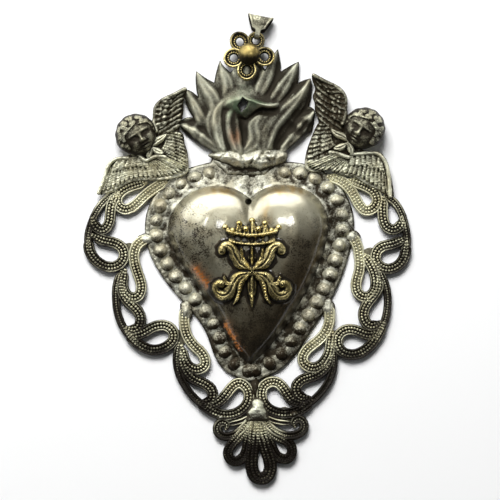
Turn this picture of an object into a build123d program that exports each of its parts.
"""Sacred-heart votive pendant in sheet silver, lying on its back. Millimetres; +Y to the bail, +Z out of the front."""

import os
from math import asin, cos, degrees, floor, radians, sin

from build123d import *

os.makedirs("parts", exist_ok=True)

# Layers, from the back upwards
BACK_SHEET = 0.5        # back plate, solder patches and the rivet's washer
BORDER_SHEET = 0.7      # bead border
RELIEF = 1.4            # scrolls, shell and flame, from their backs to their flat tops
WING_SHEET = 0.9        # wing plates
SEAM = 0.1              # room between the dome and its opening in the border

# Heart
BORDER_MARGIN = 2.9     # from the line of beads to the edge of the border
BACK_MARGIN = 2.3       # from the line of beads to the edge of the back plate
BEAD_RADIUS = 1.6
BEAD_PITCH = 3.75
DOME_HEIGHT = 9.0       # from the back plate to the top
DOME_WALL = 0.6
VENT_RADIUS = 0.85
COLLAR_HEIGHT = 2.4
COLLAR_DRAFT = 14       # degrees

# Flame
TONGUE_RISE = 1.1       # first layer of tongues above the flat of the flame
FRONT_RISE = 2.0        # front layer
NECK_TOP = 23.25        # Y of the seam between the heart and the flame
NECK_LEFT = -9.0
NECK_RIGHT = 9.75

# Scroll border and shell
BAND = 2.25             # width of a beaded band
RIM = 1.6               # width of the plain outer rim
VOLUTE = 1.5            # width of the strip in the shell's volutes
LOBE = 2.4              # width of the shell's lobes
BOSS_RADIUS = 2.15
PATCH_RADIUS = 2.2

# Cherubs
HEAD_RADIUS = 5.0

# Gilt ornament on the dome
GILT_X = 1.0            # its middle line
GILT_LIFT = 0.05        # film of solder under the ornament
GILT_THICK = 1.1
GILT_STRIP = 1.8
PIN_RADIUS = 0.45
PIN_FOOT = 5.0          # height of a pin's tail inside the dome
RUNNING = 0.05          # radial clearance of a pin or a shank in its hole

# Flower, its rivet and the bail
FLOWER_X = 0.25
FLOWER_Y = 48.9
PETAL_REACH = 3.9       # from the middle of the flower to the middle of a petal
PETAL_RING = 1.5        # radius of a petal's ring
PETAL_WIRE = 0.55       # radius of its wire
PETAL_ANGLES = (63, 126, 193, 262, 352)
HUB_RADIUS = 2.7
HUB_SHEET = 0.8
SPACER = 0.3
SPACER_RADIUS = 1.5
SHANK_RADIUS = 0.8
BALL_RADIUS = 2.6
BAIL_ANGLE = 79         # degrees, from +X to the way the bail points
BAIL_BORE = 1.7
BAIL_EYE = 0.9
BAIL_WALL = 0.4
BAIL_WAIST = 0.3        # metal between the bore and the eye
BAIL_WIDTH = 6.7
BAIL_EYE_WIDTH = 1.2

STANDING = (Align.CENTER, Align.CENTER, Align.MIN)

deck = BACK_SHEET + RELIEF
border_top = BACK_SHEET + BORDER_SHEET
wing_top = deck + WING_SHEET

# Routes of the bands, chosen by hand along the middle of each strip
UPPER_LEFT = (
    (BAND, [(-20.5, 17.25), (-23.75, 15.25), (-26.75, 12.75), (-29, 10.75), (-31.25, 10.25),
            (-32.75, 11.75), (-32.25, 14), (-29.75, 15.75), (-25.5, 17)]),
    (RIM, [(-32.75, 14.75), (-35.5, 12.75), (-37.75, 10), (-39.25, 6.75), (-40.1, 3), (-39.75, 0)]),
    (BAND, [(-40, 3), (-39.75, 0), (-38, -2.75), (-35, -4.25), (-32.5, -3.75), (-31.1, -1.75),
            (-31.6, 0.5), (-33.5, 1.75), (-36.25, 2.4), (-39, 3.75)]),
    (BAND, [(-32.5, 14.25), (-34, 11.75), (-34.5, 9), (-34.9, 6.6), (-36.5, 5), (-38.1, 5.75), (-39, 8)]),
)
MIDDLE_LEFT = (
    (BAND, [(-24.5, 3), (-27.25, 1.75), (-28.5, -0.75), (-28.25, -4), (-27.25, -7), (-26.75, -9.5),
            (-27.75, -11.75), (-29.75, -11.75), (-31.25, -9.75), (-31.4, -7.5), (-30.75, -5)]),
    (RIM, [(-31.75, -5.25), (-32.9, -8.5), (-33.1, -12.5), (-32.4, -16.75), (-30.5, -20.5), (-27.25, -23.75)]),
    (BAND, [(-30.5, -20.5), (-27.25, -23.75), (-23.75, -25.1), (-20.5, -24.25), (-18.6, -22), (-19.5, -19.6),
            (-22, -18.9), (-24.5, -19.75), (-26.75, -21), (-29.5, -21.5)]),
    (BAND, [(-31.75, -7.75), (-31.5, -10.5), (-29.75, -13.25), (-27.5, -15.5), (-26.9, -17.75),
            (-28, -19.75), (-30.5, -19.5)]),
)
LOWER_LEFT = (
    (BAND, [(-15.75, -14), (-16, -18), (-15.25, -21.5), (-13, -24.5), (-11, -26.75), (-10.9, -29),
            (-12.75, -30), (-15, -29), (-16.25, -26.5), (-16.75, -24)]),
    (RIM, [(-17.25, -23.25), (-17.9, -26.75), (-17.4, -30.75), (-15.5, -34.5), (-12.75, -37.75), (-9.25, -40.25)]),
    (BAND, [(-12.75, -37.75), (-9.25, -40.25), (-5.5, -41.4), (-2.25, -40.5), (-0.5, -38.25), (-0.75, -35.75),
            (-2.6, -34.6), (-5, -36), (-7.25, -38), (-10, -39.25)]),
    (BAND, [(-16.75, -26), (-16, -29.5), (-13.75, -32.25), (-10.6, -33.75), (-8.9, -35.75), (-9.5, -37.9),
            (-12, -38)]),
)
UPPER_RIGHT = (
    (BAND, [(20, 18.5), (23.75, 17), (26.25, 14.25), (27.75, 11.5), (29.5, 9.9), (31.5, 10.5), (32.4, 12.5),
            (31.5, 14.6), (28.75, 16.25), (25, 17.5)]),
    (RIM, [(34.25, 13.75), (37, 11.6), (38.5, 9), (39.5, 5.5), (39.9, 2), (39.25, -1.5)]),
    (BAND, [(39.75, 2), (39.25, -1.5), (37.5, -4), (34.75, -4.75), (32.5, -3.5), (32, -1.25), (33.5, 0.75),
            (36.25, 1.5), (39.25, 3)]),
    (BAND, [(34, 13.25), (33.75, 10.5), (33.9, 7.75), (34.75, 5.75), (36.5, 5.1), (38.1, 6), (38.6, 8.25)]),
)
MIDDLE_RIGHT = (
    (BAND, [(25.75, 4), (27.25, 1.5), (27.9, -1.5), (27.9, -5.25), (27.1, -8.75), (28, -11.25), (30, -11.75),
            (31.75, -10), (31.9, -6.75), (30.75, -3.75), (28.75, -1)]),
    (RIM, [(31.5, -2.75), (33.25, -5.75), (34.75, -9.75), (35, -14), (34.1, -18.25), (32, -22.25)]),
    (BAND, [(34.1, -18.25), (32, -22.25), (28.75, -25.5), (25.5, -26.25), (22.9, -24.75), (22.5, -22),
            (24.5, -20.1), (27.25, -20.25), (30, -21.25), (33.25, -20.5)]),
    (BAND, [(32.75, -6.75), (32.5, -9.75), (30.9, -12.25), (29.25, -14.75), (29.1, -17.25), (30.75, -19),
            (33.25, -18)]),
)
LOWER_RIGHT = (
    (BAND, [(20.25, -13.5), (20.5, -17), (19.75, -20), (17.25, -23), (14.6, -25.25), (13.75, -27.75), (15.75, -29.5),
            (18, -29), (20, -26.5), (20.75, -23.25), (20.9, -20)]),
    (RIM, [(21.25, -22.25), (21.6, -26.5), (21.1, -30.75), (19.25, -34.5), (16.25, -37.75), (12.5, -40.4)]),
    (BAND, [(16.25, -37.75), (12.5, -40.4), (8.5, -41), (5.25, -39.6), (4, -36.75), (4.75, -34.5), (7, -33.9),
            (9.25, -35.5), (11.25, -37.75), (14, -38.5)]),
    (BAND, [(20.75, -26.5), (19.5, -29.25), (16.75, -31.5), (13.75, -32.5), (12.1, -34.5), (13, -36.75), (15.5, -37)]),
)
SHELL = (
    (LOBE, [(1.5, -42.5), (0.5, -46), (-0.25, -49.5), (-1.5, -52.25), (-3.5, -53), (-5, -51.25), (-4.25, -49),
            (-2.25, -46.75), (0.5, -43.25)]),
    (LOBE, [(2.25, -42.5), (3.5, -45.5), (5.75, -49), (7.75, -52), (10, -52.25), (11, -50), (9.75, -48),
            (7, -46.5), (3.5, -43)]),
    (LOBE, [(1.75, -42.5), (1.1, -47.5), (0.6, -51.25), (0.6, -54.75), (2, -57.5), (4.5, -57.5), (6, -55),
            (5.4, -51.75), (4, -47.5), (2.75, -42.5)]),
    (VOLUTE, [(0.5, -42.75), (-2, -45.5), (-4, -46.9), (-6, -47.1), (-7.75, -45.75), (-7.9, -43.75),
              (-6.5, -42.5), (-5.1, -43.1)]),
    (VOLUTE, [(0.5, -42.25), (-2.5, -43.6), (-5.1, -43.6), (-5.25, -44.75), (-6.25, -45)]),
    (VOLUTE, [(3.75, -43), (6.5, -45.75), (9.75, -47), (12.75, -46.75), (14.25, -45), (14, -42.75),
              (12.5, -41.9), (11.1, -43)]),
    (VOLUTE, [(3.75, -42.5), (7, -43.9), (10.75, -44.1), (11.4, -44.6), (12.5, -44.6)]),
)
SPANS = 3
STATIONS = 7
EDGE_STATIONS = 14


def bands(strips):
    """Flat strips, each of one width along its route, in a few spans that meet end to end."""
    with BuildSketch() as flat:
        for width, route in strips:
            line = Edge.make_spline([Vector(*point) for point in route])
            for span in range(SPANS):
                left, right = [], []
                for station in range(STATIONS + 1):
                    share = (span + station / STATIONS) / SPANS
                    side = line.tangent_at(share).rotate(Axis.Z, 90) * (width / 2)
                    left.append(line.position_at(share) + side)
                    right.insert(0, line.position_at(share) - side)
                with BuildLine():
                    Spline(*left)
                    Line(left[-1], right[0])
                    Spline(*right)
                    Line(right[-1], left[0])
                make_face()
    return flat.sketch


def leaves(outlines):
    """Faces inside smooth lines that each close with a corner at their first point."""
    with BuildSketch() as flat:
        for points in outlines:
            with BuildLine():
                Spline(*points, points[0])
            make_face()
    return flat.sketch


# The line of beads, from the neck down each side to the blunt tip
HEART_TIP = (1, -30.3)
HEART_LEFT = [(-8.75, 19.2), (-15.75, 17), (-21.25, 12), (-23, 5.25), (-21.25, -1.5), (-14.25, -11),
              (-7.5, -20.5), (-4, -28), HEART_TIP]
HEART_RIGHT = [(8.25, 19.3), (14.75, 18.5), (21.25, 13.75), (23.75, 6.5), (23, 1.5), (19.25, -9.25),
               (13, -19.5), (6, -28), HEART_TIP]

with BuildLine() as left_beads:
    Spline(*HEART_LEFT)
with BuildLine() as right_beads:
    Spline(*HEART_RIGHT)


def heart_edge(line, margin, turn):
    """Points of a side of the heart, a margin away from its line of beads."""
    shares = [i / EDGE_STATIONS for i in range(EDGE_STATIONS + 1)]
    return [line.position_at(u) + line.tangent_at(u).rotate(Axis.Z, turn) * margin for u in shares]


def heart(margin):
    """The heart face that ends a margin outside the line of beads, with its neck."""
    left = heart_edge(left_beads.edges()[0], margin, -90)
    right = heart_edge(right_beads.edges()[0], margin, 90)
    with BuildSketch() as flat:
        with BuildLine():
            Spline(*left)
            Line(left[-1], right[-1])
            Spline(*right)
            Polyline(right[0], (NECK_RIGHT, NECK_TOP), (NECK_LEFT, NECK_TOP), left[0])
        make_face()
    return flat.sketch


def bead_places():
    """Places of the beads along both sides of the heart."""
    places = []
    for line in (left_beads.edges()[0], right_beads.edges()[0]):
        count = floor(line.length / BEAD_PITCH)
        places += [line.position_at((i + 0.2) / count) for i in range(count)]
    return [(place.X, place.Y, border_top) for place in places]


# The dome: one heart outline, drawn in towards its middle as it rises
DOME_MIDDLE = (0.6, 4.5)
DOME_LEFT = [(0.5, 13.25), (-4.5, 15.75), (-10.5, 16), (-17, 12.5), (-20, 6.25), (-18.5, -0.5), (-13.5, -8),
             (-7.5, -17.5), (-2.5, -25.75), (0.6, -28.75)]
DOME_RIGHT = [(0.5, 13.25), (5.5, 16), (11.5, 16.25), (18, 12.75), (20.2, 6.25), (19, 0), (14.5, -10.5),
              (9, -19.5), (4, -25.75), (0.6, -28.75)]
DOME_SHAPE = ((0, 1), (0.13, 0.995), (0.4, 0.94), (0.65, 0.82), (0.85, 0.6), (0.96, 0.33))


def dome_outline(scale, growth):
    """The dome's outline, drawn in by a scale and let out by a distance."""
    with BuildSketch() as flat:
        with BuildLine():
            for points in (DOME_LEFT, DOME_RIGHT):
                moved = []
                for x, y in points:
                    arm = Vector(x - DOME_MIDDLE[0], y - DOME_MIDDLE[1])
                    end = arm.normalized() * (arm.length * scale + growth)
                    moved.append((DOME_MIDDLE[0] + end.X, DOME_MIDDLE[1] + end.Y))
                Spline(*moved)
        make_face()
    return flat.sketch


def dome_body(growth):
    """The filled dome, let out by a distance in plan and in height."""
    with BuildPart() as body:
        for rise, scale in DOME_SHAPE:
            lift = growth if rise else 0
            with BuildSketch(Plane.XY.offset(BACK_SHEET + rise * DOME_HEIGHT + lift)):
                add(dome_outline(scale, growth))
        loft()
    return body.part


dome_outside = dome_body(0)
dome_inside = dome_body(-DOME_WALL)
gilt_seat = dome_body(GILT_LIFT)
gilt_outside = dome_body(GILT_LIFT + GILT_THICK)

VENT_PLACE = (DOME_LEFT[0][0] - 0.4, DOME_LEFT[0][1] - 2 * VENT_RADIUS)
PIN_PLACES = ((GILT_X, -1.5), (GILT_X - 4.9, -9), (GILT_X + 4.9, -9))

with BuildPart() as back_plate:
    with BuildSketch():
        add(heart(BACK_MARGIN))
    extrude(amount=BACK_SHEET)

with BuildPart() as border_block:
    with BuildSketch(Plane.XY.offset(BACK_SHEET)):
        add(heart(BORDER_MARGIN))
    extrude(amount=BORDER_SHEET)

with BuildPart() as bead_border:
    add(border_block.part)
    with Locations(*bead_places()):
        Sphere(BEAD_RADIUS, arc_size1=0, arc_size2=90, align=STANDING)
    add(dome_body(SEAM), mode=Mode.SUBTRACT)

with BuildPart() as heart_dome:
    add(dome_outside)
    add(dome_inside, mode=Mode.SUBTRACT)
    with Locations(*[(x, y, PIN_FOOT) for x, y in PIN_PLACES]):
        Cylinder(PIN_RADIUS + RUNNING, DOME_HEIGHT, align=STANDING, mode=Mode.SUBTRACT)
    with Locations((*VENT_PLACE, border_top)):
        Cylinder(VENT_RADIUS, DOME_HEIGHT, align=STANDING, mode=Mode.SUBTRACT)


def scroll(strips, *neighbours):
    """One openwork scroll, fitted against the border's edge and against its neighbours."""
    with BuildPart() as piece:
        with BuildSketch(Plane.XY.offset(BACK_SHEET)):
            add(bands(strips))
        extrude(amount=RELIEF)
        for neighbour in (border_block, *neighbours):
            add(neighbour.part, mode=Mode.SUBTRACT)
    return piece


scroll_upper_left = scroll(UPPER_LEFT)
scroll_upper_right = scroll(UPPER_RIGHT)
scroll_middle_left = scroll(MIDDLE_LEFT, scroll_upper_left)
scroll_middle_right = scroll(MIDDLE_RIGHT, scroll_upper_right)
scroll_lower_left = scroll(LOWER_LEFT, scroll_middle_left)
scroll_lower_right = scroll(LOWER_RIGHT, scroll_middle_right)
shell_palmette = scroll(SHELL, scroll_lower_left, scroll_lower_right)

# Outline of the flame: each tongue is two arcs, given by a point on the way and the corner that it ends at
FLAME_START = (NECK_LEFT, NECK_TOP + 1.5)
FLAME_END = (NECK_RIGHT, NECK_TOP + 1.5)
FLAME_ARCS = (
    ((-14.5, 28), (-17.25, 31.5)), ((-16, 33), (-13.75, 33.25)), ((-15.5, 36.5), (-16.25, 40.5)),
    ((-14, 39.7), (-12.5, 38.25)), ((-13.1, 41.5), (-13, 44.9)), ((-10.75, 43.25), (-8.5, 42)),
    ((-7.9, 45), (-7, 47.6)), ((-6, 46), (-4.25, 44.6)), ((-1.9, 48), (0.1, 50.9)),
    ((2.6, 48.2), (4.25, 45)), ((5.75, 48), (7.5, 50.4)), ((8.1, 47.5), (8.25, 44.75)),
    ((10.5, 46.2), (12.75, 47.25)), ((12.85, 44.5), (12.5, 41.75)), ((14, 42.6), (15.75, 43)),
    ((16.1, 40), (15.25, 36)), ((16.1, 35.7), (16.75, 35)), ((16.6, 32.5), (16, 29.75)),
    ((13.5, 28), FLAME_END),
)
# Raised tongues: root, widest points and tip
TONGUES = (
    [(-7.5, 26), (-11, 27.6), (-14.8, 31.6), (-11, 31.6)],
    [(-7, 28), (-11.2, 32.5), (-15.2, 39.2), (-9.5, 35.5)],
    [(-5.5, 30), (-9.8, 37), (-12.4, 43.2), (-7.2, 38.5)],
    [(-3.5, 31), (-7, 38.5), (-7.3, 44.6), (-4, 39.5)],
    [(3.2, 31), (3.2, 38), (6.4, 42.4), (7, 37)],
    [(5.2, 30), (7, 36.5), (11.9, 45.4), (10, 37)],
    [(6.8, 28), (9.8, 34.5), (14.9, 41.6), (12.2, 33.5)],
    [(7.6, 26), (11, 31), (15.5, 33.6), (13, 28.8)],
)
FRONT_TONGUES = (
    [(-6.5, 26), (-9, 32), (-6.5, 36.5), (-4, 33)],
    [(-3.2, 26), (-5.2, 33), (-2.4, 38.2), (0.8, 37.8), (8, 37), (3, 34.5), (0.8, 30)],
    [(3.4, 26), (2.6, 30), (5.6, 34.5), (7, 30.5)],
)
TEAR = [(-1.25, 38.1), (0, 37), (-0.5, 35.75), (-1.6, 34.6), (-2.5, 36)]

with BuildPart() as flame_plate:
    with BuildSketch(Plane.XY.offset(BACK_SHEET)):
        with BuildLine():
            corner = FLAME_START
            for middle, end in FLAME_ARCS:
                ThreePointArc(corner, middle, end)
                corner = end
            Polyline(corner, (NECK_RIGHT, NECK_TOP), (NECK_LEFT, NECK_TOP), FLAME_START)
        make_face()
    extrude(amount=RELIEF)
    with BuildSketch(Plane.XY.offset(deck)):
        add(leaves(TONGUES))
    extrude(amount=TONGUE_RISE)
    with BuildSketch(Plane.XY.offset(deck)):
        add(leaves(FRONT_TONGUES))
    extrude(amount=FRONT_RISE)
    with BuildSketch(Plane.XY.offset(BACK_SHEET)):
        with BuildLine():
            Polyline(*TEAR, close=True)
        make_face()
    extrude(amount=RELIEF + FRONT_RISE, mode=Mode.SUBTRACT)
    with Locations((FLOWER_X, FLOWER_Y, BACK_SHEET)):
        Cylinder(SHANK_RADIUS + RUNNING, RELIEF, align=STANDING, mode=Mode.SUBTRACT)

# The neck of the heart and the lip that closes it
SADDLE = [(NECK_LEFT, NECK_TOP), (NECK_LEFT, NECK_TOP - 1.5), (NECK_LEFT + 3.6, NECK_TOP - 5),
          (NECK_RIGHT - 5.4, NECK_TOP - 5), (NECK_RIGHT, NECK_TOP - 0.5), (NECK_RIGHT, NECK_TOP)]
COLLAR_LEFT = (NECK_LEFT - 0.5, NECK_TOP + 0.4)
COLLAR_RIGHT = (NECK_RIGHT, NECK_TOP + 0.5)
COLLAR_UPPER = (0.1, NECK_TOP + 2)
COLLAR_LOWER = (0.8, NECK_TOP - 2.75)

with BuildPart() as neck_saddle:
    with BuildSketch(Plane.XY.offset(border_top)):
        with BuildLine():
            Polyline(*SADDLE, close=True)
        make_face()
    extrude(amount=deck - border_top)

with BuildPart() as neck_collar:
    with BuildSketch(Plane.XY.offset(deck)):
        with BuildLine():
            ThreePointArc(COLLAR_LEFT, COLLAR_LOWER, COLLAR_RIGHT)
            ThreePointArc(COLLAR_RIGHT, COLLAR_UPPER, COLLAR_LEFT)
        make_face()
    extrude(amount=COLLAR_HEIGHT, taper=COLLAR_DRAFT)
    add(flame_plate.part, mode=Mode.SUBTRACT)

# Wings, three to a cherub: upper, inner and outer
LEFT_WINGS = (
    [(-26, 28), (-24.5, 33.5), (-22.75, 37), (-19.5, 38.9), (-15.5, 40.5), (-16.25, 36), (-17, 31.5), (-19, 27)],
    [(-25, 29.5), (-17.25, 30), (-16, 26.25), (-15, 22.5), (-15.25, 19.4), (-19, 19.3), (-22, 21), (-26, 25.5)],
    [(-31.5, 24.5), (-35, 21.25), (-36.75, 17), (-37.75, 14), (-34.5, 15.2), (-30, 17.3), (-24.5, 18.2), (-17, 19.2),
     (-19, 22.5), (-25.5, 25.5)],
)
RIGHT_WINGS = (
    [(27, 29.5), (25, 35), (24.5, 37.75), (23.5, 39.75), (20, 41.75), (16.25, 43.75), (16.4, 40), (16.9, 36),
     (17.5, 32.5), (19.5, 28.5)],
    [(26, 31), (17, 32), (15.4, 27.5), (14.5, 23.25), (15.25, 20.2), (19, 20.6), (22.5, 22), (27, 26.5)],
    [(26, 27), (29.5, 27), (33.5, 24.6), (35.1, 20), (35.6, 12.75), (32.5, 15), (29.25, 16.9), (25.5, 19.3),
     (20.5, 20.6), (22.5, 23)],
)
LEFT_HEAD = (-27.5, 28.6)
RIGHT_HEAD = (28.9, 30.2)


def wings(outlines, head):
    """The flat plate of a cherub's wings, with the round that carries its head."""
    with BuildPart() as plate:
        with BuildSketch(Plane.XY.offset(deck)):
            add(leaves(outlines))
            with Locations(head):
                Circle(HEAD_RADIUS)
        extrude(amount=WING_SHEET)
        for neighbour in (bead_border, flame_plate):
            add(neighbour.part, mode=Mode.SUBTRACT)
    return plate


def cherub_head(place):
    """A head in half round on its wings."""
    with BuildPart() as head:
        with Locations((*place, wing_top)):
            Sphere(HEAD_RADIUS, arc_size1=0, arc_size2=90, align=STANDING)
    return head


cherub_left_wings = wings(LEFT_WINGS, LEFT_HEAD)
cherub_right_wings = wings(RIGHT_WINGS, RIGHT_HEAD)
cherub_left_head = cherub_head(LEFT_HEAD)
cherub_right_head = cherub_head(RIGHT_HEAD)

BOSS = (2.4, -39.4)
with BuildPart() as shell_boss:
    with Locations((*BOSS, deck)):
        Sphere(BOSS_RADIUS, arc_size1=0, arc_size2=90, align=STANDING)

PATCHES = ((-29.9, -0.4), (-17.9, -22.2), (30.6, -1.6), (21.9, -22.4), (-3.3, -42), (9.2, -41.6))
with BuildPart() as solder_patches:
    with BuildSketch():
        with Locations(*PATCHES):
            Circle(PATCH_RADIUS)
    extrude(amount=BACK_SHEET)
    add(back_plate.part, mode=Mode.SUBTRACT)

# Gilt ornament: a crown over two pairs of leafy scrolls and a drop
CROWN = [(-5.4, 2.2), (-6.7, 6), (-4.4, 4.8), (-3.2, 7), (-1.5, 5.2), (0, 7.7), (1.5, 5.2), (3.2, 7), (4.4, 4.8),
         (6.7, 6), (5.4, 2.2)]
GILT_ROUTES = (
    [(0, -4.8), (-2.6, -3.6), (-4.2, -1.2), (-5.4, 0.8), (-7.3, 0.7)],
    [(0, -5.6), (-3, -6.4), (-4.9, -9), (-6.6, -11.2), (-8.7, -10.6), (-9, -8.6)],
)
DROP = [(0, 2.6), (-1.1, -2), (-1.5, -8), (0, -14.4), (1.5, -8), (1.1, -2)]


def on_dome(*sketches):
    """A flat design laid on the dome as a plate of one thickness."""
    with BuildPart() as plate:
        with BuildSketch():
            for sketch in sketches:
                add(sketch)
        extrude(amount=2 * DOME_HEIGHT)
        add(gilt_outside, mode=Mode.INTERSECT)
        add(gilt_seat, mode=Mode.SUBTRACT)
    return plate


def gilt_scroll_face():
    """Both sides of the scrolls, with the drop between them."""
    routes = []
    for route in GILT_ROUTES:
        routes += [(GILT_STRIP, [(GILT_X + side * x, y) for x, y in route]) for side in (1, -1)]
    return bands(routes)


def crown_face():
    """The crown's outline, with its foot curved up."""
    points = [(GILT_X + x, y) for x, y in CROWN]
    with BuildSketch() as flat:
        with BuildLine():
            Polyline(*points)
            ThreePointArc(points[-1], (GILT_X, CROWN[0][1] - 0.8), points[0])
        make_face()
    return flat.sketch


gilt_crown = on_dome(crown_face())
gilt_scrolls = on_dome(gilt_scroll_face(), leaves([[(GILT_X + x, y) for x, y in DROP]]))
with BuildPart() as gilt_scrolls_fitted:
    add(gilt_scrolls.part)
    add(gilt_crown.part, mode=Mode.SUBTRACT)

with BuildPart() as ornament_pins:
    with Locations(*[(x, y, PIN_FOOT) for x, y in PIN_PLACES]):
        Cylinder(PIN_RADIUS, DOME_HEIGHT, align=STANDING)
    add(gilt_seat, mode=Mode.INTERSECT)

# Flower: five wire petals on a hub that turns on the rivet, between a spacer and the rivet's ball
petal_floor = deck + SPACER + RUNNING
petal_middle = petal_floor + PETAL_WIRE
petal_roof = petal_middle + PETAL_WIRE
ball_floor = petal_roof + RUNNING


def petal_place(angle):
    """Middle of a petal's ring."""
    x = FLOWER_X + PETAL_REACH * cos(radians(angle))
    y = FLOWER_Y + PETAL_REACH * sin(radians(angle))
    return (x, y, petal_middle)


with BuildPart() as flower_petals:
    with Locations((FLOWER_X, FLOWER_Y, petal_middle)):
        Cylinder(HUB_RADIUS, HUB_SHEET)
    with Locations(*[petal_place(angle) for angle in PETAL_ANGLES]):
        Torus(PETAL_RING, PETAL_WIRE)
    with Locations((FLOWER_X, FLOWER_Y, petal_middle)):
        Cylinder(SHANK_RADIUS + RUNNING, 4 * PETAL_WIRE, mode=Mode.SUBTRACT)

with BuildPart() as flower_rivet:
    with Locations((FLOWER_X, FLOWER_Y, 0)):
        Cylinder(SHANK_RADIUS, ball_floor, align=STANDING)
    with Locations((FLOWER_X, FLOWER_Y, ball_floor)):
        Sphere(BALL_RADIUS, arc_size1=0, arc_size2=90, align=STANDING)

with BuildPart() as flower_spacer:
    with BuildSketch(Plane.XY.offset(deck)):
        with Locations((FLOWER_X, FLOWER_Y)):
            Circle(SPACER_RADIUS)
            Circle(SHANK_RADIUS + RUNNING, mode=Mode.SUBTRACT)
    extrude(amount=SPACER)

with BuildPart() as rivet_washer:
    with BuildSketch():
        with Locations((FLOWER_X, FLOWER_Y)):
            Circle(SPACER_RADIUS)
            Circle(SHANK_RADIUS, mode=Mode.SUBTRACT)
    extrude(amount=BACK_SHEET)

# Bail: a strap bent round a bore, with an eye round the wire of the first petal. Its back lies on the ground.
bail_way = Vector(cos(radians(BAIL_ANGLE)), sin(radians(BAIL_ANGLE)), 0)
bail_reach = BAIL_BORE + BAIL_WAIST + BAIL_EYE
bail_round = BAIL_BORE + BAIL_WALL
eye_round = BAIL_EYE + BAIL_WALL
wire_place = Vector(*petal_place(PETAL_ANGLES[0])) + bail_way * PETAL_RING
bail_tilt = degrees(asin((wire_place.Z - bail_round - RUNNING) / bail_reach))
hinge_way = bail_way.rotate(Axis.Z, -90)
bail_lean = bail_way.rotate(Axis((0, 0, 0), hinge_way), -bail_tilt)
bail_side = Plane(origin=wire_place, x_dir=bail_lean, z_dir=hinge_way)
bail_front = Plane(origin=wire_place, x_dir=bail_lean, z_dir=hinge_way.cross(bail_lean))

with BuildPart() as bail:
    with BuildSketch(bail_side):
        with Locations((bail_reach, 0)):
            Circle(bail_round)
        Circle(eye_round)
        with BuildLine():
            Polyline((0, eye_round), (bail_reach, bail_round), (bail_reach, -bail_round), (0, -eye_round), close=True)
        make_face()
        Circle(BAIL_EYE, mode=Mode.SUBTRACT)
        with Locations((bail_reach, 0)):
            Circle(BAIL_BORE, mode=Mode.SUBTRACT)
    extrude(amount=BAIL_WIDTH / 2, both=True)
    with BuildSketch(bail_front):
        with BuildLine():
            Polyline((-eye_round, -BAIL_EYE_WIDTH / 2), (eye_round, -BAIL_EYE_WIDTH / 2),
                     (bail_reach + bail_round, -BAIL_WIDTH / 2), (bail_reach + bail_round, BAIL_WIDTH / 2),
                     (eye_round, BAIL_EYE_WIDTH / 2), (-eye_round, BAIL_EYE_WIDTH / 2), close=True)
        make_face()
    extrude(amount=bail_round, both=True, mode=Mode.INTERSECT)

pieces = {
    "back_plate": back_plate,
    "bead_border": bead_border,
    "heart_dome": heart_dome,
    "neck_saddle": neck_saddle,
    "neck_collar": neck_collar,
    "flame_plate": flame_plate,
    "cherub_left_wings": cherub_left_wings,
    "cherub_left_head": cherub_left_head,
    "cherub_right_wings": cherub_right_wings,
    "cherub_right_head": cherub_right_head,
    "scroll_upper_left": scroll_upper_left,
    "scroll_middle_left": scroll_middle_left,
    "scroll_lower_left": scroll_lower_left,
    "scroll_upper_right": scroll_upper_right,
    "scroll_middle_right": scroll_middle_right,
    "scroll_lower_right": scroll_lower_right,
    "shell_palmette": shell_palmette,
    "shell_boss": shell_boss,
    "solder_patches": solder_patches,
    "gilt_crown": gilt_crown,
    "gilt_scrolls": gilt_scrolls_fitted,
    "ornament_pins": ornament_pins,
    "flower_rivet": flower_rivet,
    "flower_spacer": flower_spacer,
    "rivet_washer": rivet_washer,
    "flower_petals": flower_petals,
    "bail": bail,
}
for name, piece in pieces.items():
    piece.part.label = name
    export_step(piece.part, f"parts/{name}.step")
